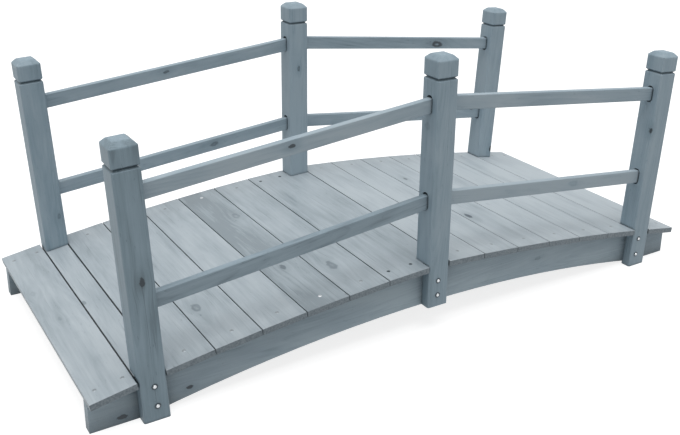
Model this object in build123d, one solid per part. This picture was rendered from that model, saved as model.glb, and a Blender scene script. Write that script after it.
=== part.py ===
"""Small arched garden bridge in softwood, with a mortised post-and-rail fence on each side.

Millimetres. X runs along the bridge, Y across it and Z up. The origin is on the ground, midway
between the deck's ends and its sides. The near side is -Y, and the left end is -X.
"""

import os
from math import atan, copysign, cos, degrees, hypot, radians, sin, sqrt, tan

from build123d import *

# Overall sizes
DECK_LENGTH = 1492.0
DECK_WIDTH = 670.0

# Stringers: the two arched side beams that carry the boards
STRINGER_THICKNESS = 22.0
STRINGER_END_HEIGHT = 62.0        # height of the upright end face
STRINGER_END_SETBACK = 0.5        # the deck's end stands this far past the beam
STRINGER_RIDGE_HEIGHT = 145.7     # height of the top edge at the ridge
LEFT_TOP_RISE = 14.0              # how far the left half of the top edge bows above its chord
RIGHT_TOP_RISE = 11.6
ARCH_RISE = 58.5                  # height of the underside at mid-span
FOOT_LENGTH = 105.0               # flat length that rests on the ground at each end

# Deck boards
BOARD_THICKNESS = 13.0
BOARD_GAP = 1.5
WIDE_BOARD_WIDTH = 150.5          # the board that is cut round the middle posts
LEFT_BOARDS = 5                   # plain boards between the left and the middle posts
RIGHT_BOARDS = 6                  # plain boards between the middle and the right posts
FILLER_INSET = 1.0                # the narrow board between the left posts is this far inside their sides
BOARD_EDGE_ROUND = 1.2
NOTCH_CLEARANCE = 1.0             # between a post and the notch it stands in

# Posts
POST_SECTION = 51.0
POST_SETBACK = 1.0                # the post's outer face lies this far inside the board ends
POST_LAP = 24.0                   # thickness left where the post is halved over the stringer
END_POST_INSET = 113.5            # from the deck's end to the centre of an end post
MIDDLE_POST_X = 1.5
LEFT_POST_LEAN = 2.9              # degrees outward from upright
RIGHT_POST_LEAN = 3.6
END_POST_SET_DOWN = 4.0           # heights on an end post start this far under the deck
POST_SHOULDER_HEIGHT = 439.9      # along the post, from the deck to the foot of its cap
POST_EDGE_ROUND = 4.0
CAP_RISE = 10.5
CAP_INSET = 10.5                  # how far the cap's flat crown lies inside the post's faces
CAP_ROUND = 9.0                   # where the bevels meet the crown
SHOULDER_ROUND = 5.0              # where the faces meet the bevels
GROOVE_BELOW_SHOULDER = 37.0
GROOVE_WIDTH = 8.5
GROOVE_DEPTH = 5.5

# Rails and their mortises
RAIL_THICKNESS = 15.0
RAIL_HEIGHT = 31.0
RAIL_EDGE_ROUND = 2.0
LOWER_RAIL_HEIGHT = 140.0         # rail's centre above the deck, along the post
UPPER_RAIL_HEIGHT = 348.0
MORTISE_DEPTH = 16.0
MORTISE_SIDE_CLEARANCE = 2.5      # on each side of the rail
MORTISE_END_CLEARANCE = 4.0       # above and below the rail
MORTISE_CORNER = 9.0
RAIL_END_CLEARANCE = 0.3          # between the rail's end and the bottom of its mortise

# Places worked out from the sizes above
DECK_END_X = DECK_LENGTH / 2
STRINGER_END_X = DECK_END_X - STRINGER_END_SETBACK
FOOT_INNER_X = STRINGER_END_X - FOOT_LENGTH
POST_OUTER_Y = DECK_WIDTH / 2 - POST_SETBACK
POST_CENTRE_Y = POST_OUTER_Y - POST_SECTION / 2
STRINGER_OUTER_Y = POST_OUTER_Y - POST_LAP
HALF_POST = POST_SECTION / 2
END_POST_X = DECK_END_X - END_POST_INSET
WIDE_BOARD_RIGHT = MIDDLE_POST_X + HALF_POST
RIDGE_X = WIDE_BOARD_RIGHT + BOARD_GAP / 2
GROOVE_HEIGHT = POST_SHOULDER_HEIGHT - GROOVE_BELOW_SHOULDER


def write(node, solid):
    """Write one piece to its own file."""
    export_step(solid, f"parts/{node}.step")


def on_both_sides(name, near_piece):
    """Write a near-side piece and its mirror image on the far side."""
    write(f"{name}_near", near_piece)
    write(f"{name}_far", near_piece.mirror(Plane.XZ))


class TopEdge:
    """One half of a stringer's top edge: an arc from its end to the ridge."""

    def __init__(self, end_x, rise):
        self.start = (end_x, STRINGER_END_HEIGHT)
        self.end = (RIDGE_X, STRINGER_RIDGE_HEIGHT)
        run, climb = self.end[0] - self.start[0], self.end[1] - self.start[1]
        chord = hypot(run, climb)
        self.radius = (chord**2 / 4 + rise**2) / (2 * rise)
        up_x, up_z = copysign(climb / chord, -run), abs(run) / chord
        mid_x, mid_z = self.start[0] + run / 2, self.start[1] + climb / 2
        drop = self.radius - rise
        self.centre = (mid_x - up_x * drop, mid_z - up_z * drop)
        self.middle = (mid_x + up_x * rise, mid_z + up_z * rise)

    def height(self, x):
        return self.centre[1] + sqrt(self.radius**2 - (x - self.centre[0]) ** 2)

    def slope(self, x):
        return -(x - self.centre[0]) / (self.height(x) - self.centre[1])


LEFT_TOP = TopEdge(-STRINGER_END_X, LEFT_TOP_RISE)
RIGHT_TOP = TopEdge(STRINGER_END_X, RIGHT_TOP_RISE)


def top_edge_at(x):
    return LEFT_TOP if x < RIDGE_X else RIGHT_TOP


class Seat:
    """Where a board lies: tangent to the stringers' top edge under the middle of the board."""

    def __init__(self, left, right):
        self.left, self.right = left, right
        self.middle = (left + right) / 2
        edge = top_edge_at(self.middle)
        self.height = edge.height(self.middle)
        self.slope = edge.slope(self.middle)

    def top_height(self, x):
        """Height of the board's upper face at x."""
        tilt = atan(self.slope)
        return self.height + BOARD_THICKNESS / cos(tilt) + (x - self.middle) * self.slope


def board_seats():
    """Every board's place, from the left end to the right one."""
    left_face, right_face = -END_POST_X - HALF_POST, -END_POST_X + HALF_POST
    filler = Seat(left_face + FILLER_INSET, right_face - FILLER_INSET)
    seats = [Seat(-DECK_END_X, left_face - BOARD_GAP), filler]

    wide_left = WIDE_BOARD_RIGHT - WIDE_BOARD_WIDTH
    start, stop = right_face + BOARD_GAP, wide_left - BOARD_GAP
    seats += even_seats(start, stop, LEFT_BOARDS)
    seats.append(Seat(wide_left, WIDE_BOARD_RIGHT))

    start, stop = WIDE_BOARD_RIGHT + BOARD_GAP, END_POST_X - HALF_POST - BOARD_GAP
    seats += even_seats(start, stop, RIGHT_BOARDS)
    seats.append(Seat(END_POST_X - HALF_POST, DECK_END_X))
    return seats


def even_seats(start, stop, count):
    """Boards of one width that fill a length with equal gaps."""
    width = (stop - start - (count - 1) * BOARD_GAP) / count
    lefts = [start + i * (width + BOARD_GAP) for i in range(count)]
    return [Seat(left, left + width) for left in lefts]


def make_board(seat, half_length, notch=None):
    """A board on its seat, with eased upper edges. A notch is the x range cut out for a post."""
    tilt = atan(seat.slope)
    width = (seat.right - seat.left) / cos(tilt)
    board = Box(width, 2 * half_length, BOARD_THICKNESS, align=(Align.CENTER, Align.CENTER, Align.MIN))
    board = fillet(board.faces().sort_by(Axis.Z)[-1].edges(), BOARD_EDGE_ROUND)
    board = Pos(seat.middle, 0, seat.height) * Rot(0, -degrees(tilt), 0) * board
    if notch:
        left, right = notch
        depth = half_length - STRINGER_OUTER_Y + NOTCH_CLEARANCE
        cutter = Box(right - left, 2 * depth, 4 * STRINGER_RIDGE_HEIGHT)
        for side in (-1, 1):
            board -= Pos((left + right) / 2, side * half_length, 0) * cutter
    return board


def make_boards(seats):
    """All the boards, and the seats that the three pairs of posts stand on."""
    filler, ridge, last = seats[1], seats[2 + LEFT_BOARDS], seats[-1]
    for number, seat in enumerate(seats, start=1):
        half_length, notch = DECK_WIDTH / 2, None
        if seat is filler:
            half_length = STRINGER_OUTER_Y - NOTCH_CLEARANCE
        elif seat is ridge:
            notch = (MIDDLE_POST_X - HALF_POST - NOTCH_CLEARANCE, seat.right + BOARD_GAP)
        elif seat is last:
            notch = (seat.left - BOARD_GAP, END_POST_X + HALF_POST + NOTCH_CLEARANCE)
        write(f"deck_board_{number:02d}", make_board(seat, half_length, notch))
    return filler, ridge, last


def make_stringer():
    """The near stringer: flat feet, an arched underside and a top edge of two arcs."""
    end, foot = STRINGER_END_X, FOOT_INNER_X
    with BuildPart() as stringer:
        with BuildSketch(Plane.XZ):
            with BuildLine():
                Line((-end, STRINGER_END_HEIGHT), (-end, 0))
                Line((-end, 0), (-foot, 0))
                ThreePointArc((-foot, 0), (0, ARCH_RISE), (foot, 0))
                Line((foot, 0), (end, 0))
                Line((end, 0), (end, STRINGER_END_HEIGHT))
                ThreePointArc(RIGHT_TOP.start, RIGHT_TOP.middle, RIGHT_TOP.end)
                ThreePointArc(LEFT_TOP.end, LEFT_TOP.middle, LEFT_TOP.start)
            make_face()
        extrude(amount=STRINGER_THICKNESS)
    return Pos(0, -STRINGER_OUTER_Y + STRINGER_THICKNESS, 0) * stringer.part


def post_blank(below):
    """A post in its own axes: the deck is at height 0, and the cap is at the top."""
    section = RectangleRounded(POST_SECTION, POST_SECTION, POST_EDGE_ROUND)
    blank = extrude(Pos(0, 0, -below) * section, below + POST_SHOULDER_HEIGHT + CAP_RISE)
    for plane in (Plane.XZ, Plane.YZ):
        blank &= extrude(plane * head_outline(below), POST_SECTION, both=True)
    return blank - groove_cutter()


def head_outline(below):
    """A post's side view, with eased bevels up to a flat crown."""
    crown, top = HALF_POST - CAP_INSET, POST_SHOULDER_HEIGHT + CAP_RISE
    side = [(HALF_POST, -below), (HALF_POST, POST_SHOULDER_HEIGHT), (crown, top)]
    outline = make_face(Polyline(*side, *[(-x, z) for x, z in reversed(side)], close=True))
    corners = outline.vertices().group_by(Axis.Y)
    outline = fillet(corners[-1], CAP_ROUND)
    shoulders = [v for v in outline.vertices() if abs(v.Y - POST_SHOULDER_HEIGHT) < 0.01]
    return fillet(shoulders, SHOULDER_ROUND)


def groove_cutter():
    """A square ring of V section that is sawn into all four faces under the cap."""
    waist = POST_SECTION - 2 * GROOVE_DEPTH
    half = GROOVE_WIDTH / 2
    ring = Pos(0, 0, GROOVE_HEIGHT) * Box(2 * POST_SECTION, 2 * POST_SECTION, GROOVE_WIDTH)
    wide, narrow = Rectangle(POST_SECTION, POST_SECTION), Rectangle(waist, waist)
    for side in (-1, 1):
        outer = Pos(0, 0, GROOVE_HEIGHT + side * half) * wide
        inner = Pos(0, 0, GROOVE_HEIGHT) * narrow
        ring -= loft([outer.face(), inner.face()])
    return ring


def mortise_cutter(height, side):
    """A blind mortise with rounded corners, into the face on that side of the post."""
    opening = RectangleRounded(
        RAIL_THICKNESS + 2 * MORTISE_SIDE_CLEARANCE,
        RAIL_HEIGHT + 2 * MORTISE_END_CLEARANCE,
        MORTISE_CORNER,
    )
    face = Plane(origin=(side * HALF_POST, 0, height), x_dir=(0, side, 0), z_dir=(side, 0, 0))
    return extrude(face * opening, -MORTISE_DEPTH)


def post_datum(x, lean, seat):
    """The height on a post's centre line that its own heights are measured from."""
    return seat.top_height(x) - (END_POST_SET_DOWN if lean else 0)


def make_post(x, lean, seat, foot_height, mortise_sides):
    """A near-side post: mortised, halved over the board and stringer, and cut level at its foot."""
    datum = post_datum(x, lean, seat)
    blank = post_blank(below=datum + POST_SECTION)
    for side in mortise_sides:
        for height in (LOWER_RAIL_HEIGHT, UPPER_RAIL_HEIGHT):
            blank -= mortise_cutter(height, side)
    post = Pos(x, -POST_CENTRE_Y, datum) * Rot(0, lean, 0) * blank

    reach = 2 * POST_SECTION
    below_deck = Polyline(
        (x - reach, seat.top_height(x - reach)),
        (x + reach, seat.top_height(x + reach)),
        (x + reach, -reach),
        (x - reach, -reach),
        close=True,
    )
    halving = extrude(Plane.XZ * make_face(below_deck), -STRINGER_OUTER_Y, both=True)
    post -= halving
    ground = Pos(x, -POST_CENTRE_Y, foot_height) * Box(
        2 * reach, 2 * reach, 4 * reach, align=(Align.CENTER, Align.CENTER, Align.MAX)
    )
    return post - ground


def mortise_bottom(x, lean, seat, height, side):
    """The point in the XZ plane at the centre of a mortise's blind end."""
    along = side * (HALF_POST - MORTISE_DEPTH + RAIL_END_CLEARANCE)
    angle = radians(lean)
    return (
        x + along * cos(angle) + height * sin(angle),
        post_datum(x, lean, seat) - along * sin(angle) + height * cos(angle),
    )


def make_rail(start, start_lean, end, end_lean):
    """A near-side rail between two mortise bottoms, its ends cut parallel to the posts' faces."""
    slope = (end[1] - start[1]) / (end[0] - start[0])
    half_height = RAIL_HEIGHT / 2 * sqrt(1 + slope**2)
    corners = []
    for (x, z), lean, edge in (
        (start, start_lean, 1),
        (end, end_lean, 1),
        (end, end_lean, -1),
        (start, start_lean, -1),
    ):
        lean_ratio = tan(radians(lean))
        run = edge * half_height * lean_ratio / (1 - slope * lean_ratio)
        corners.append((x + run, z + run * slope + edge * half_height))
    side_face = make_face(Polyline(*corners, close=True))
    rail = extrude(Plane.XZ * side_face, RAIL_THICKNESS / 2, both=True)
    long_edges = rail.edges().filter_by(lambda edge: edge.length > POST_SECTION)
    rail = fillet(long_edges, RAIL_EDGE_ROUND)
    return Pos(0, -POST_CENTRE_Y, 0) * rail


os.makedirs("parts", exist_ok=True)

on_both_sides("stringer", make_stringer())

left_seat, middle_seat, right_seat = make_boards(board_seats())

posts = {
    "left": (-END_POST_X, -LEFT_POST_LEAN, left_seat),
    "middle": (MIDDLE_POST_X, 0, middle_seat),
    "right": (END_POST_X, RIGHT_POST_LEAN, right_seat),
}
on_both_sides("post_left", make_post(*posts["left"], 0, (1,)))
on_both_sides("post_middle", make_post(*posts["middle"], ARCH_RISE, (-1, 1)))
on_both_sides("post_right", make_post(*posts["right"], 0, (-1,)))

for level, height in (("lower", LOWER_RAIL_HEIGHT), ("upper", UPPER_RAIL_HEIGHT)):
    for bay, first, second in (("left", "left", "middle"), ("right", "middle", "right")):
        start = mortise_bottom(*posts[first], height, 1)
        end = mortise_bottom(*posts[second], height, -1)
        rail = make_rail(start, posts[first][1], end, posts[second][1])
        on_both_sides(f"rail_{level}_{bay}", rail)
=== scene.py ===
"""Looks for the small arched garden bridge: grey-stained softwood with zinc-plated screws and bolts."""

import random
from math import atan2, cos, pi, radians, sin

import bmesh
import bpy
from mathutils import Matrix, Vector


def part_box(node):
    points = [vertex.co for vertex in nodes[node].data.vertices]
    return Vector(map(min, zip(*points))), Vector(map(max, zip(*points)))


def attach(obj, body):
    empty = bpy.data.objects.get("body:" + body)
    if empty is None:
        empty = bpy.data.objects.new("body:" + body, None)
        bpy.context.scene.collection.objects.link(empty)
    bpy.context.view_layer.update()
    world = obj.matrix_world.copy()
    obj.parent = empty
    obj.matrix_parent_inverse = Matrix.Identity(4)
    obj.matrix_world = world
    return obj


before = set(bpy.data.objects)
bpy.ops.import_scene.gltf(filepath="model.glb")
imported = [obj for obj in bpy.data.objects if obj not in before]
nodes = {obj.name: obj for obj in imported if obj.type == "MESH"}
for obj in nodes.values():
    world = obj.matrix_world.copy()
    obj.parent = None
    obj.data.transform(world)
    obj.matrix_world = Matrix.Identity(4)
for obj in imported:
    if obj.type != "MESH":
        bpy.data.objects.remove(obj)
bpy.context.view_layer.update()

# Stringers: two planks on edge, band-sawn to an arch below and a gentle curve above.
# Planed spruce, dipped in a thin grey stain that lets the grain and the knots show through.
# The boards are screwed down into their top edges, and the posts are bolted to their outer faces.


def linear(code):
    """An sRGB hex colour as linear red, green, blue and alpha."""
    channels = [int(code[i : i + 2], 16) / 255 for i in (1, 3, 5)]
    return [c / 12.92 if c <= 0.04045 else ((c + 0.055) / 1.055) ** 2.4 for c in channels] + [1.0]


def add(tree, kind, inputs=None, **settings):
    """Add a node, set its properties, and set or link its inputs, a node by its first output."""
    node = tree.nodes.new(kind)
    for key, value in settings.items():
        setattr(node, key, value)
    for key, value in (inputs or {}).items():
        source = value.outputs[0] if isinstance(value, bpy.types.Node) else value
        if isinstance(source, bpy.types.NodeSocket):
            tree.links.new(source, node.inputs[key])
        else:
            node.inputs[key].default_value = source
    return node


def stained_softwood(
    node,
    grain,
    tones,
    seed,
    slope=0.0,
    knots=(),
    rings=0.05,
    streaks=0.36,
    mottle=0.65,
    shift=0.0,
    ends=(0.3, 0.6),
    corner_shade=(0.008, 0.85),
):
    """Planed spruce under a thin grey stain: soft streaks and mottling, faint rings, fibres and knots.

    grain names the axes along the grain, across the face and through the piece. slope is the angle
    of the grain in the XZ plane. A knot is (place in metres, radius in mm, how dark it is, how pale
    its heart is). rings, streaks and mottle say how strongly each shows, shift makes the piece
    lighter or darker, and ends is the range of tones on its sawn ends. The last argument is painted
    shade: how far from a corner it reaches, and how dark it gets there.
    """
    rng = random.Random(seed)
    material = bpy.data.materials.new(f"stained_spruce_{node}")
    material.use_nodes = True
    tree = material.node_tree
    surface = tree.nodes["Principled BSDF"]

    # Coordinates that run along the grain, across the face and through the piece
    place = add(tree, "ShaderNodeTexCoord")
    turned = add(tree, "ShaderNodeMapping", {0: place.outputs["Object"], "Rotation": (0, slope, 0)})
    split = add(tree, "ShaderNodeSeparateXYZ", {0: turned})
    along, across, through = (split.outputs[axis] for axis in grain)
    wood = add(tree, "ShaderNodeCombineXYZ", {0: along, 1: across, 2: through})

    def in_wood(point):
        """A place on the bridge in the coordinates of the wood."""
        turned_point = Matrix.Rotation(slope, 3, "Y") @ Vector(point)
        return Vector([turned_point["XYZ".index(axis)] for axis in grain])

    # The grain bends round each knot, so the coordinates are squeezed towards its centre line.
    # A knot has a ragged dark rim, a paler heart and a stained halo that trails along the grain.
    # Each band is strongest at the centre and fades out between two distances in knot radii.
    bent, dark_knot = wood, 0.0
    for point, radius, strength, pale_heart in knots:
        size = radius / 1000
        away = add(tree, "ShaderNodeVectorMath", {0: wood, 1: in_wood(point)}, operation="SUBTRACT")
        oval = add(tree, "ShaderNodeVectorMath", {0: away, 1: (0.5, 1, 0.5)}, operation="MULTIPLY")
        far = add(tree, "ShaderNodeVectorMath", {0: oval}, operation="LENGTH").outputs["Value"]
        ragged = add(tree, "ShaderNodeTexNoise", {0: wood, "Scale": 1 / (size * 1.3), "Detail": 4.0})
        edge = add(tree, "ShaderNodeMath", {0: ragged, 1: size * 1.1, 2: far}, operation="MULTIPLY_ADD")
        bands = {
            "pull": (far, 0.4, 5.0, 0.7),
            "core": (edge, 1.2, 1.9, strength),
            "heart": (edge, 0.55, 1.15, pale_heart * strength),
            "halo": (edge, 1.2, 4.5, 0.32 * strength),
        }
        band = {}
        for label, (distance, inner, outer, most) in bands.items():
            band[label] = add(
                tree,
                "ShaderNodeMapRange",
                {0: distance, 1: size * inner, 2: size * outer, 3: most, 4: 0.0},
                interpolation_type="SMOOTHSTEP",
            )
        sideways = add(tree, "ShaderNodeVectorMath", {0: away, 1: (0, -1, 0)}, operation="MULTIPLY")
        squeeze = {0: sideways, 1: band["pull"], 2: bent}
        bent = add(tree, "ShaderNodeVectorMath", squeeze, operation="MULTIPLY_ADD")
        rim = add(tree, "ShaderNodeMath", {0: band["core"], 1: band["heart"]}, operation="SUBTRACT")
        mark = add(tree, "ShaderNodeMath", {0: rim, 1: band["halo"]}, operation="MAXIMUM")
        dark_knot = add(tree, "ShaderNodeMath", {0: mark, 1: dark_knot}, operation="MAXIMUM")

    # Noises of the wood: how far each is squeezed along the grain, its width in metres, and its
    # detail. Real fibres and pores are too fine to show in the render, so theirs are drawn wider.
    offset = Vector([rng.uniform(-5, 5) for _ in range(3)])
    own = add(tree, "ShaderNodeVectorMath", {0: bent, 1: offset}, operation="ADD")
    noise = {
        "waver": (0.25, 0.14, 2.0),
        "patchiness": (0.3, 0.06, 2.0),
        "fibre": (0.03, 0.0016, 3.0),
        "streak": (0.05, 0.009, 3.0),
        "patch": (0.3, 0.045, 5.0),
        "cloud": (0.12, 0.117, 2.0),
        "fleck": (0.22, 0.0035, 2.0),
        "dark_grain": (0.018, 0.0026, 2.0),
        "sawn_face": (1.0, 0.004, 5.0),
    }
    for label, (squeezed, width, detail) in noise.items():
        drawn_out = add(tree, "ShaderNodeMapping", {0: own, "Scale": (squeezed, 1, 1)})
        noise[label] = add(tree, "ShaderNodeTexNoise", {0: drawn_out, "Scale": 1 / width, "Detail": detail})

    # Annual rings round a pith that lies under the face and drifts slowly along the plank
    ring_width = 0.0034
    ring_waver = 0.03
    pith = Vector((0, rng.uniform(-0.03, 0.03), -rng.uniform(0.05, 0.09)))
    box_low, box_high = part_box(node)
    middle = in_wood((box_low + box_high) / 2)
    from_pith = add(tree, "ShaderNodeVectorMath", {0: bent, 1: middle + pith}, operation="SUBTRACT")
    parts = add(tree, "ShaderNodeSeparateXYZ", {0: from_pith})
    taper = rng.uniform(0.02, 0.05) * rng.choice((-1, 1))
    rise = add(tree, "ShaderNodeMath", {0: parts, 1: taper, 2: parts.outputs[2]}, operation="MULTIPLY_ADD")
    radial = add(tree, "ShaderNodeCombineXYZ", {1: parts.outputs[1], 2: rise})
    radius = add(tree, "ShaderNodeVectorMath", {0: radial}, operation="LENGTH").outputs["Value"]
    wavy = {0: noise["waver"], 1: ring_waver, 2: radius}
    waved = add(tree, "ShaderNodeMath", wavy, operation="MULTIPLY_ADD")
    years = add(tree, "ShaderNodeMath", {0: waved, 1: ring_width}, operation="DIVIDE")
    year = add(tree, "ShaderNodeMath", {0: years}, operation="FRACT")

    # Late wood darkens through each year, stops short at its end, and shows in some places only
    late = 1.0
    for source, low, high, start, stop in (
        (year, 0.3, 0.85, 0.0, 1.0),
        (year, 0.88, 1.0, 1.0, 0.0),
        (noise["patchiness"], 0.35, 0.65, 0.15, 1.0),
    ):
        ramp = {0: source, 1: low, 2: high, 3: start, 4: stop}
        shown = add(tree, "ShaderNodeMapRange", ramp, interpolation_type="SMOOTHSTEP")
        late = add(tree, "ShaderNodeMath", {0: shown, 1: late}, operation="MULTIPLY")

    # Streaks follow the fibres, and patches are where the stain soaked in unevenly
    tone = 0.5 + shift
    for source, average, weight in (
        (late, 0.3, -2 * rings),
        (noise["fibre"], 0.5, 0.5 * streaks),
        (noise["streak"], 0.5, streaks),
        (noise["patch"], 0.5, mottle),
        (noise["cloud"], 0.5, 0.7 * mottle),
    ):
        centred = add(tree, "ShaderNodeMath", {0: source, 1: average}, operation="SUBTRACT")
        tone = add(tree, "ShaderNodeMath", {0: centred, 1: weight, 2: tone}, operation="MULTIPLY_ADD")

    # Short flecks are pores, and a few long lines of dark grain stand out, none of them too dark
    deepest_streak = 0.22
    for source, low, high, depth in (
        (noise["fleck"], 0.66, 0.78, 0.2),
        (noise["dark_grain"], 0.62, 0.76, 0.55 * streaks),
    ):
        ramp = {0: source, 1: low, 2: high, 3: 0.0, 4: depth}
        line = add(tree, "ShaderNodeMapRange", ramp, interpolation_type="SMOOTHSTEP")
        tone = add(tree, "ShaderNodeMath", {0: tone, 1: line}, operation="SUBTRACT")
    tone = add(tree, "ShaderNodeMath", {0: tone, 1: deepest_streak}, operation="MAXIMUM")

    # Sawn ends drink the stain and stay rough, so they have tones of their own and are speckled
    turn = {0: place.outputs["Normal"], "Angle": slope}
    normal = add(tree, "ShaderNodeVectorRotate", turn, rotation_type="Y_AXIS")
    facing = add(tree, "ShaderNodeSeparateXYZ", {0: normal})
    square_on = add(tree, "ShaderNodeMath", {0: facing.outputs[grain[0]]}, operation="ABSOLUTE")
    ramp = {0: square_on, 1: 0.8, 2: 0.97}
    sawn = add(tree, "ShaderNodeMapRange", ramp, interpolation_type="SMOOTHSTEP")
    ramp = {0: noise["sawn_face"], 1: 0.3, 2: 0.7, 3: ends[0], 4: ends[1]}
    speckled = add(tree, "ShaderNodeMapRange", ramp, interpolation_type="SMOOTHSTEP")
    tone = add(tree, "ShaderNodeMix", {0: sawn, 2: tone, 3: speckled}, data_type="FLOAT")
    if knots:
        tone = add(tree, "ShaderNodeMix", {0: dark_knot, 2: tone, 3: 0.0}, data_type="FLOAT")
    colour = add(tree, "ShaderNodeValToRGB", {0: tone})
    stops = colour.color_ramp.elements
    knot_tone, dark_tone, mid_tone, light_tone = tones
    stops[0].position, stops[0].color = 0.0, linear(knot_tone)
    stops[1].position, stops[1].color = 0.3, linear(dark_tone)
    stops.new(0.5).color = linear(mid_tone)
    stops.new(0.72).color = linear(light_tone)

    # Painted shade: in corners, round screw heads and where pieces meet,
    # the colour is darkened towards a dark grey
    shade_reach, shade_depth = corner_shade
    corner = add(tree, "ShaderNodeAmbientOcclusion", {"Distance": shade_reach}, samples=8)
    ramp = {0: corner.outputs["AO"], 1: 0.25, 2: 0.95, 3: shade_depth, 4: 0.0}
    painted_shade = add(tree, "ShaderNodeMapRange", ramp, interpolation_type="SMOOTHSTEP")
    shade_mix = {0: painted_shade, 6: colour, 7: linear(PAINTED_SHADE_COLOUR)}
    stained = add(tree, "ShaderNodeMix", shade_mix, data_type="RGBA")
    # The stain's colour with the painted shade mixed in
    tree.links.new(stained.outputs[2], surface.inputs["Base Color"])

    # Satin where the stain lies thick and dark, duller where it is thin and pale
    ramp = {0: tone, 1: 0.2, 2: 0.8, 3: 0.5, 4: 0.66}
    sheen = add(tree, "ShaderNodeMapRange", ramp, interpolation_type="SMOOTHSTEP")
    tree.links.new(sheen.outputs[0], surface.inputs["Roughness"])
    relief = add(tree, "ShaderNodeMath", {0: late, 1: 0.4, 2: noise["fibre"]}, operation="MULTIPLY_ADD")
    height = add(tree, "ShaderNodeMix", {0: sawn, 2: relief, 3: noise["sawn_face"]}, data_type="FLOAT")
    bump = add(tree, "ShaderNodeBump", {"Height": height, "Strength": 0.3, "Distance": 0.0006})
    tree.links.new(bump.outputs[0], surface.inputs["Normal"])
    return material


def finish_node(name, material):
    """Give a CAD piece its finish."""
    slots = nodes[name].data.materials
    slots.clear()
    slots.append(material)


# The dark grey that the painted shade darkens towards
PAINTED_SHADE_COLOUR = "#39434a"
FRAME_TONES = ("#333d44", "#80949f", "#92a6b2", "#a4b5bf")
STRINGER_TONES = ("#333d44", "#8b9ea9", "#a1b3be", "#b3c4cd")
STRINGER_KNOTS = {
    "stringer_near": [
        ((-0.685, -0.31, 0.014), 5, 1.1, 0.0),
        ((-0.555, -0.31, 0.032), 3.8, 1.1, 0.0),
        ((0.31, -0.31, 0.085), 5, 0.5, 0.3),
    ],
    "stringer_far": [
        ((0.42, 0.31, 0.06), 6, 0.8, 0.3),
        ((-0.2, 0.31, 0.1), 5, 0.8, 0.2),
        ((0.1, 0.288, 0.09), 6, 0.8, 0.3),
    ],
}
for number, (name, knots) in enumerate(STRINGER_KNOTS.items()):
    # Painted shade on the stringers reaches 6 cm, so they darken under the deck and below the boards'
    # overhang
    material = stained_softwood(
        name,
        "XZY",
        STRINGER_TONES,
        seed=11 + number,
        knots=knots,
        shift=0.1,
        ends=(0.2, 0.4),
        corner_shade=(0.06, 0.75),
    )
    finish_node(name, material)

# Deck: fifteen planed boards laid across the stringers with a narrow gap between them.
# They are flat-sawn spruce in the same stain, worn a little paler on the face that is walked on.
# Their sawn ends show on both sides, rough and dark.

DECK_TONES = ("#55616a", "#99a5ac", "#aab5bc", "#b8c2c8")
DECK_KNOTS = {
    1: [((-0.712, -0.022, 0.081), 4, 0.35, 0.0), ((-0.731, 0.118, 0.079), 6, 0.35, 0.3)],
    2: [((-0.656, 0.001, 0.091), 4.5, 0.7, 0.1)],
    4: [((-0.484, -0.178, 0.116), 9, 0.7, 0.3)],
    6: [
        ((-0.273, -0.147, 0.14), 6, 0.8, 0.0),
        ((-0.246, 0.147, 0.142), 9, 0.5, 0.4),
        ((-0.33, 0.05, 0.134), 4, 0.4, 0.2),
    ],
    7: [((-0.186, -0.204, 0.147), 10, 0.7, 0.2)],
    9: [((0.02, 0.11, 0.15), 6, 0.35, 0.3)],
    11: [((0.237, -0.138, 0.15), 8, 1.1, 0.0), ((0.248, 0.146, 0.15), 6, 0.9, 0.1)],
    12: [((0.342, -0.083, 0.142), 6, 0.4, 0.1)],
}
BOARD_COUNT = 15
LEFT_BOARD_SHIFT, RIGHT_BOARD_SHIFT = 0.02, 0.14
BOARD_SHIFT = {5: -0.04, 6: -0.28, 7: -0.02, 8: 0.0}
for number in range(1, BOARD_COUNT + 1):
    name = f"deck_board_{number:02d}"
    usual_shift = LEFT_BOARD_SHIFT if number < 9 else RIGHT_BOARD_SHIFT
    # Painted shade on the boards reaches only 7 mm, into their gaps and corners
    material = stained_softwood(
        name,
        "YXZ",
        DECK_TONES,
        seed=40 + number,
        knots=DECK_KNOTS.get(number, ()),
        rings=0.03,
        streaks=0.45,
        mottle=0.8,
        shift=BOARD_SHIFT.get(number, usual_shift),
        ends=(0.06, 0.2),
        corner_shade=(0.007, 0.7),
    )
    finish_node(name, material)

# Posts: six square posts, halved at the foot over the stringers, with a grooved and bevelled head.
# The end posts lean outward, and the mortises for the rails are cut with round corners.
# Planed on four sides and stained before the bridge is put together.

LEFT_POST_LEAN, RIGHT_POST_LEAN = radians(2.9), radians(3.6)
POST_KNOTS = {
    "post_left_near": [((-0.6395, -0.334, 0.282), 5.2, 1.0, 0.0)],
    "post_right_near": [((0.621, -0.334, 0.354), 5, 1.0, 0.0)],
    "post_middle_far": [((0.001, 0.283, 0.444), 4, 0.8, 0.2)],
    "post_left_far": [((-0.623, 0.283, 0.172), 4, 0.6, 0.2)],
    "post_middle_near": [((-0.024, -0.305, 0.46), 4.5, 0.4, 0.2)],
    "post_right_far": [((0.655, 0.283, 0.118), 4.5, 1.0, 0.0)],
}
USUAL_POST_SHIFT = 0.03
POST_SHIFT = {
    "post_left_near": -0.12,
    "post_left_far": -0.02,
    "post_middle_far": 0.2,
    "post_right_far": 0.16,
}
LEAN = {"left": LEFT_POST_LEAN, "middle": 0.0, "right": -RIGHT_POST_LEAN}
for number, (name, knots) in enumerate(POST_KNOTS.items()):
    slope = LEAN[name.split("_")[1]]
    shift = POST_SHIFT.get(name, USUAL_POST_SHIFT)
    material = stained_softwood(
        name,
        "ZXY",
        FRAME_TONES,
        seed=70 + number,
        slope=slope,
        knots=knots,
        shift=shift,
        ends=(0.4, 0.6),
    )
    finish_node(name, material)

# Rails: eight slim bars, two on each side of each half, let into the mortises of the posts.
# Ripped from straight-grained stock, so the grain runs along them, with the long edges eased.
# They are held by the posts alone, with no nail or screw.

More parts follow.
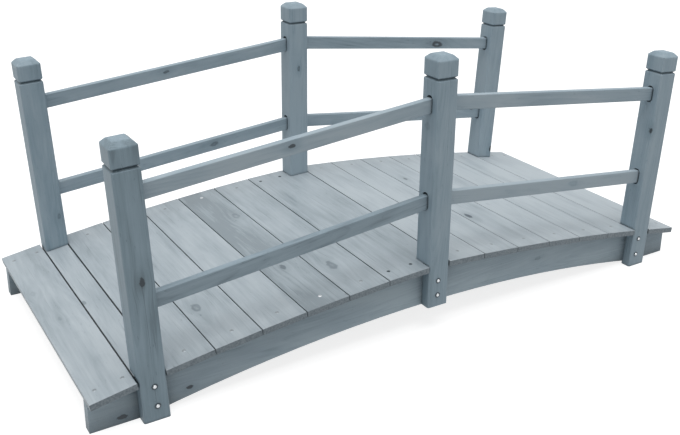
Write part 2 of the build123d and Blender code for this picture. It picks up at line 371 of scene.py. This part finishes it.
RAIL_TONES = ("#3d474e", "#899ba6", "#9aacb7", "#abbac3")
RAIL_SHIFT = {
    "rail_lower_left_near": -0.2,
    "rail_upper_left_near": 0.12,
    "rail_lower_right_near": 0.24,
    "rail_upper_right_near": 0.1,
}
RAIL_KNOTS = {
    "rail_upper_left_near": [((-0.338, -0.316, 0.4735), 4, 1.2, 0.0)],
    "rail_lower_right_near": [((0.395, -0.316, 0.258), 8, 0.4, 0.2)],
    "rail_upper_left_far": [((-0.343, 0.301, 0.4735), 4, 0.8, 0.1)],
    "rail_lower_left_far": [((-0.229, 0.301, 0.275), 6, 0.7, 0.2)],
    "rail_upper_right_far": [((0.45, 0.301, 0.4565), 9, 1.1, 0.85)],
    "rail_lower_right_far": [((0.585, 0.301, 0.251), 7, 0.8, 0.1)],
}
for number, side in enumerate(("left_near", "right_near", "left_far", "right_far")):
    for level in ("lower", "upper"):
        name = f"rail_{level}_{side}"
        low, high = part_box(name)
        climb = atan2(high.z - low.z, high.x - low.x)
        slope = climb if side.startswith("left") else -climb
        material = stained_softwood(
            name,
            "XZY",
            RAIL_TONES,
            seed=90 + 2 * number + (level == "upper"),
            slope=slope,
            knots=RAIL_KNOTS.get(name, ()),
            shift=RAIL_SHIFT.get(name, 0.0),
        )
        finish_node(name, material)

# Deck screws: zinc-plated countersunk screws, one through each end of each board and two in the
# wide ones, with heads a hair above the wood. Most have gone dull and those of the sixth board still
# shine. Those of the board at the middle posts are near-black as painted shade, for screws in shadow.


def place_on(name, x, y, direction):
    """The point and outward normal where a straight line meets a CAD piece."""
    start = Vector((x, y, 0)) - Vector(direction) * 2
    _, point, normal, _ = nodes[name].ray_cast(start, Vector(direction))
    return point, normal


def cross_head(name):
    """A shallow domed screw head of diameter 1 with a cross-shaped recess, seated at height 0."""
    dome = [(0.5, -0.06), (0.5, 0.0), (0.47, 0.03), (0.4, 0.055), (0.3, 0.075)]
    segments = 24
    crown_height, recess_floor, recess_taper = 0.085, 0.012, 0.75
    out, half = 0.24, 0.07
    cross = [
        (half, half), (half, out), (-half, out), (-half, half),
        (-out, half), (-out, -half), (-half, -half), (-half, -out),
        (half, -out), (half, -half), (out, -half), (out, half),
    ]
    shape = bmesh.new()
    angles = [2 * pi * i / segments for i in range(segments)]
    rings = [[shape.verts.new((r * cos(a), r * sin(a), z)) for a in angles] for r, z in dome]
    for lower, upper in zip(rings, rings[1:]):
        for i in range(segments):
            j = (i + 1) % segments
            shape.faces.new((lower[i], lower[j], upper[j], upper[i]))
    shape.faces.new(list(reversed(rings[0])))
    lip = [shape.verts.new((x, y, crown_height)) for x, y in cross]
    base = [shape.verts.new((recess_taper * x, recess_taper * y, recess_floor)) for x, y in cross]
    count = len(cross)
    for i in range(count):
        j = (i + 1) % count
        shape.faces.new((lip[j], lip[i], base[i], base[j]))
    shape.faces.new(base)
    loops = [shape.edges.get((rings[-1][i], rings[-1][(i + 1) % segments])) for i in range(segments)]
    loops += [shape.edges.get((lip[i], lip[(i + 1) % count])) for i in range(count)]
    bmesh.ops.triangle_fill(shape, edges=loops, use_beauty=True, use_dissolve=False)
    bmesh.ops.recalc_face_normals(shape, faces=shape.faces)
    mesh = bpy.data.meshes.new(name)
    shape.to_mesh(mesh)
    shape.free()
    return bpy.data.objects.new(name, mesh)


def fastener_tree(name):
    """Geometry nodes that seat one head on each point, turned to its axis and spun at random."""
    tree = bpy.data.node_groups.new(name, "GeometryNodeTree")
    for label, kind in (
        ("Places", "NodeSocketGeometry"),
        ("Head", "NodeSocketObject"),
        ("Diameter", "NodeSocketFloat"),
        ("Seed", "NodeSocketInt"),
        ("Metal", "NodeSocketMaterial"),
    ):
        tree.interface.new_socket(label, in_out="INPUT", socket_type=kind)
    tree.interface.new_socket("Fasteners", in_out="OUTPUT", socket_type="NodeSocketGeometry")
    given = add(tree, "NodeGroupInput")
    head = add(tree, "GeometryNodeObjectInfo", {"Object": given.outputs["Head"]})
    axis = add(tree, "GeometryNodeInputNamedAttribute", {"Name": "axis"}, data_type="FLOAT_VECTOR")
    upright = add(tree, "FunctionNodeAlignRotationToVector", {"Vector": axis}, axis="Z")
    spin = add(
        tree,
        "FunctionNodeRandomValue",
        {"Min": (0, 0, 0), "Max": (0, 0, 2 * pi), "Seed": given.outputs["Seed"]},
        data_type="FLOAT_VECTOR",
    )
    turn = add(tree, "FunctionNodeEulerToRotation", {0: spin})
    rotation = add(
        tree,
        "FunctionNodeRotateRotation",
        {"Rotation": upright, "Rotate By": turn},
        rotation_space="LOCAL",
    )
    seated = add(
        tree,
        "GeometryNodeInstanceOnPoints",
        {
            "Points": given.outputs["Places"],
            "Instance": head.outputs["Geometry"],
            "Rotation": rotation,
            "Scale": given.outputs["Diameter"],
        },
    )
    real = add(tree, "GeometryNodeRealizeInstances", {0: seated})
    plated = add(tree, "GeometryNodeSetMaterial", {0: real, "Material": given.outputs["Metal"]})
    result = add(tree, "NodeGroupOutput")
    tree.links.new(plated.outputs[0], result.inputs[0])
    return tree


def fit_fasteners(name, places, head, diameter, seed, metal):
    """Seat the heads on their places, make the result a plain mesh and let it ride on the bridge."""
    mesh = bpy.data.meshes.new(name)
    mesh.from_pydata([point for point, _ in places], [], [])
    axis = mesh.attributes.new("axis", "FLOAT_VECTOR", "POINT")
    for item, (_, normal) in zip(axis.data, places):
        item.vector = normal
    piece = bpy.data.objects.new(name, mesh)
    bpy.context.scene.collection.objects.link(piece)
    seat = piece.modifiers.new("seat", "NODES")
    seat.node_group = fasteners
    given = [item for item in fasteners.interface.items_tree if item.in_out == "INPUT"]
    sockets = {item.name: item.identifier for item in given}
    for label, value in (("Head", head), ("Diameter", diameter), ("Seed", seed), ("Metal", metal)):
        seat[sockets[label]] = value
    bpy.context.view_layer.update()
    made = piece.evaluated_get(bpy.context.evaluated_depsgraph_get())
    plain = bpy.data.meshes.new_from_object(made)
    piece.modifiers.clear()
    piece.data = plain
    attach(piece, "root")


def plated_steel(name, tone, rough):
    """Zinc-plated steel: a bright, slightly cloudy metal that throws small sharp highlights."""
    # Its clouds are about 2.2 mm across, wider than real ones, so that they show on a small head
    clouds_per_metre = 450.0
    material = bpy.data.materials.new(name)
    material.use_nodes = True
    tree = material.node_tree
    surface = tree.nodes["Principled BSDF"]
    place = add(tree, "ShaderNodeTexCoord")
    spangle = {"Vector": place.outputs["Object"], "Scale": clouds_per_metre, "Detail": 3.0}
    cloud = add(tree, "ShaderNodeTexNoise", spangle)
    colour = add(tree, "ShaderNodeValToRGB", {0: cloud})
    dark, bright = colour.color_ramp.elements
    dark.position, dark.color = 0.3, linear(tone[0])
    bright.position, bright.color = 0.7, linear(tone[1])
    matt = add(tree, "ShaderNodeMapRange", {0: cloud, 3: rough - 0.06, 4: rough + 0.08})
    tree.links.new(colour.outputs["Color"], surface.inputs["Base Color"])
    tree.links.new(matt.outputs[0], surface.inputs["Roughness"])
    surface.inputs["Metallic"].default_value = 1.0
    return material


SCREW_DIAMETER = 0.008
SCREW_LINE = 0.299
WIDE_BOARD_SCREWS = {1: (-0.728, -0.677), 8: (-0.105, -0.049), 15: (0.677, 0.728)}
DOWN = (0, 0, -1)
SCREWS_OF_BOARD = {6: "bright_deck_screws", 8: "grimy_deck_screws"}
screw_places = {"deck_screws": [], "bright_deck_screws": [], "grimy_deck_screws": []}
for number in range(1, BOARD_COUNT + 1):
    name = f"deck_board_{number:02d}"
    low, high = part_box(name)
    for x in WIDE_BOARD_SCREWS.get(number, ((low.x + high.x) / 2,)):
        places = [place_on(name, x, side * SCREW_LINE, DOWN) for side in (-1, 1)]
        screw_places[SCREWS_OF_BOARD.get(number, "deck_screws")] += places
fasteners = fastener_tree("seated_fasteners")
zinc = plated_steel("zinc_plated_steel", ("#c3c7ca", "#e0e3e5"), 0.3)
dull_zinc = plated_steel("weathered_zinc_plated_steel", ("#868d92", "#a6adb1"), 0.42)
# Painted shade: a near-black zinc for heads that sit in shadow and for the rings under the bolt heads
shade_dark_zinc = plated_steel("dark_zinc_for_painted_shade", ("#434b50", "#565f64"), 0.4)
head = cross_head("screw_head")
for seed, (name, metal) in enumerate(zip(screw_places, (dull_zinc, zinc, shade_dark_zinc)), 3):
    fit_fasteners(name, screw_places[name], head, SCREW_DIAMETER, seed, metal)

# Post bolts: two zinc-plated bolts through each post and its stringer, with a domed head outside on a
# thin dark ring of painted shade, and a washer and a nut inside. The end posts' bolts follow the lean of
# the post.


def turned_profile(name, profile, segments, hexagon_from=None):
    """A lathe-turned head of the given radii and heights. From one ring on it can be a hexagon."""
    shape = bmesh.new()
    rings = []
    for index, (r, z) in enumerate(profile):
        ring = []
        for i in range(segments):
            angle = 2 * pi * i / segments
            reach = r
            if hexagon_from is not None and index >= hexagon_from:
                reach = r * cos(pi / 6) / cos((angle + pi / 6) % (pi / 3) - pi / 6)
            ring.append(shape.verts.new((reach * cos(angle), reach * sin(angle), z)))
        rings.append(ring)
    for lower, upper in zip(rings, rings[1:]):
        for i in range(segments):
            j = (i + 1) % segments
            shape.faces.new((lower[i], lower[j], upper[j], upper[i]))
    shape.faces.new(list(reversed(rings[0])))
    shape.faces.new(rings[-1])
    bmesh.ops.recalc_face_normals(shape, faces=shape.faces)
    mesh = bpy.data.meshes.new(name)
    shape.to_mesh(mesh)
    shape.free()
    for polygon in mesh.polygons:
        polygon.use_smooth = hexagon_from is None
    return bpy.data.objects.new(name, mesh)


BOLT_DIAMETER = 0.0072
SHADE_RING_DIAMETER = 0.0118
WASHER_DIAMETER = 0.016
NUT_WIDTH = 0.0135
BOLT_HEIGHTS_END = (0.072, 0.0305)
BOLT_HEIGHTS_MIDDLE = (0.119, 0.085)
END_BOLT_X = ((-0.630, -0.6265), (0.6247, 0.621))
dome_angles = [radians(angle) for angle in (-8, 0, 12, 25, 40, 55, 70, 82)]
dome = [(0.5 * cos(angle), 0.1 + 0.34 * sin(angle)) for angle in dome_angles]
outside, inside = [], []
bolt_lines = [(0.0, z) for z in BOLT_HEIGHTS_MIDDLE]
for xs in END_BOLT_X:
    bolt_lines += list(zip(xs, BOLT_HEIGHTS_END))
post_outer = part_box("post_middle_far")[1].y
stringer_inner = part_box("stringer_far")[0].y
for x, z in bolt_lines:
    for side in (-1, 1):
        outside.append((Vector((x, side * post_outer, z)), Vector((0, side, 0))))
        inside.append((Vector((x, side * stringer_inner, z)), Vector((0, -side, 0))))
washer = turned_profile("washer", [(0.5, -0.01), (0.5, 0.075), (0.48, 0.09), (0.2, 0.09)], 24)
# The dark ring under each bolt head is painted shade, a thin disc of near-black zinc
fit_fasteners("bolt_collars", outside, washer, SHADE_RING_DIAMETER, 8, shade_dark_zinc)
fit_fasteners("post_bolts", outside, turned_profile("bolt_dome", dome, 24), BOLT_DIAMETER, 5, zinc)
fit_fasteners("bolt_washers", inside, washer, WASHER_DIAMETER, 6, dull_zinc)
nut = turned_profile("nut", [(0.5, 0.1), (0.5, 0.5), (0.46, 0.54), (0.22, 0.54)], 24, hexagon_from=0)
fit_fasteners("bolt_nuts", inside, nut, NUT_WIDTH, 7, dull_zinc)

# Studio: a plain pale floor and soft light from above, with the camera where the photograph was
# taken from. The floor and the backdrop are white where they are looked at or mirrored, and
# light the bridge less than that.

PAPER_GLOW = 0.8
SKY_LIGHT = 0.40
SOFTBOX_LIGHT = 1.82
SOFTBOX_SPREAD = radians(50)
FLOOR_REACH = 12.0
floor_mesh = bpy.data.meshes.new("floor")
corners = [(FLOOR_REACH * x, FLOOR_REACH * y, 0) for x, y in ((-1, -1), (1, -1), (1, 1), (-1, 1))]
floor_mesh.from_pydata(corners, [], [(0, 1, 2, 3)])
floor = bpy.data.objects.new("floor", floor_mesh)
bpy.context.scene.collection.objects.link(floor)
paper = bpy.data.materials.new("matt_white_paper")
paper.use_nodes = True
tree = paper.node_tree
surface = tree.nodes["Principled BSDF"]
surface.inputs["Roughness"].default_value = 0.9
surface.inputs["Specular IOR Level"].default_value = 0.1
ray = add(tree, "ShaderNodeLightPath")
seen = ray.outputs["Is Camera Ray"]
for kind in ("Is Glossy Ray", "Is Transmission Ray"):
    seen = add(tree, "ShaderNodeMath", {0: seen, 1: ray.outputs[kind]}, operation="MAXIMUM")
glow = add(tree, "ShaderNodeMath", {0: seen, 1: PAPER_GLOW}, operation="MULTIPLY")
surface.inputs["Base Color"].default_value = linear("#aeaeae")
surface.inputs["Emission Color"].default_value = (1, 1, 1, 1)
tree.links.new(glow.outputs[0], surface.inputs["Emission Strength"])
floor_mesh.materials.append(paper)

world = bpy.data.worlds.new("studio")
bpy.context.scene.world = world
world.use_nodes = True
tree = world.node_tree
backdrop = tree.nodes["Background"]
backdrop.inputs["Color"].default_value = (1, 1, 1, 1)
ray = add(tree, "ShaderNodeLightPath")
seen = ray.outputs["Is Camera Ray"]
for kind in ("Is Glossy Ray", "Is Transmission Ray"):
    seen = add(tree, "ShaderNodeMath", {0: seen, 1: ray.outputs[kind]}, operation="MAXIMUM")
strength = add(tree, "ShaderNodeMapRange", {0: seen, 3: SKY_LIGHT, 4: 1.0})
tree.links.new(strength.outputs[0], backdrop.inputs["Strength"])

lamp = bpy.data.lights.new("overhead_softbox", "SUN")
lamp.energy = SOFTBOX_LIGHT
lamp.angle = SOFTBOX_SPREAD
overhead = bpy.data.objects.new("overhead_softbox", lamp)
shine = Vector((0.10, 0.12, -1))
overhead.rotation_euler = shine.to_track_quat("-Z", "Y").to_euler()
bpy.context.scene.collection.objects.link(overhead)

CAMERA_PLACE = (-1.0889, -1.7294, 1.0256)
CAMERA_YAW = 0.5802
CAMERA_PITCH = -0.3408
CAMERA_ROLL = 0.0220
FOCAL_LENGTH_MM = 48.878
PHOTO_WIDTH, PHOTO_HEIGHT = 680, 435
PRINCIPAL_POINT = (372.43, 154.71)
lens = bpy.data.cameras.new("camera")
lens.sensor_fit = "HORIZONTAL"
lens.sensor_width = 36.0
lens.lens = FOCAL_LENGTH_MM
lens.shift_x = (PHOTO_WIDTH / 2 - PRINCIPAL_POINT[0]) / PHOTO_WIDTH
lens.shift_y = (PRINCIPAL_POINT[1] - PHOTO_HEIGHT / 2) / PHOTO_WIDTH
camera = bpy.data.objects.new("camera", lens)
bpy.context.scene.collection.objects.link(camera)
camera.matrix_world = (
    Matrix.Translation(CAMERA_PLACE)
    @ Matrix.Rotation(-CAMERA_YAW, 4, "Z")
    @ Matrix.Rotation(pi / 2 + CAMERA_PITCH, 4, "X")
    @ Matrix.Rotation(CAMERA_ROLL, 4, "Z")
)
bpy.context.scene.camera = camera
bpy.context.scene.view_settings.view_transform = "Standard"
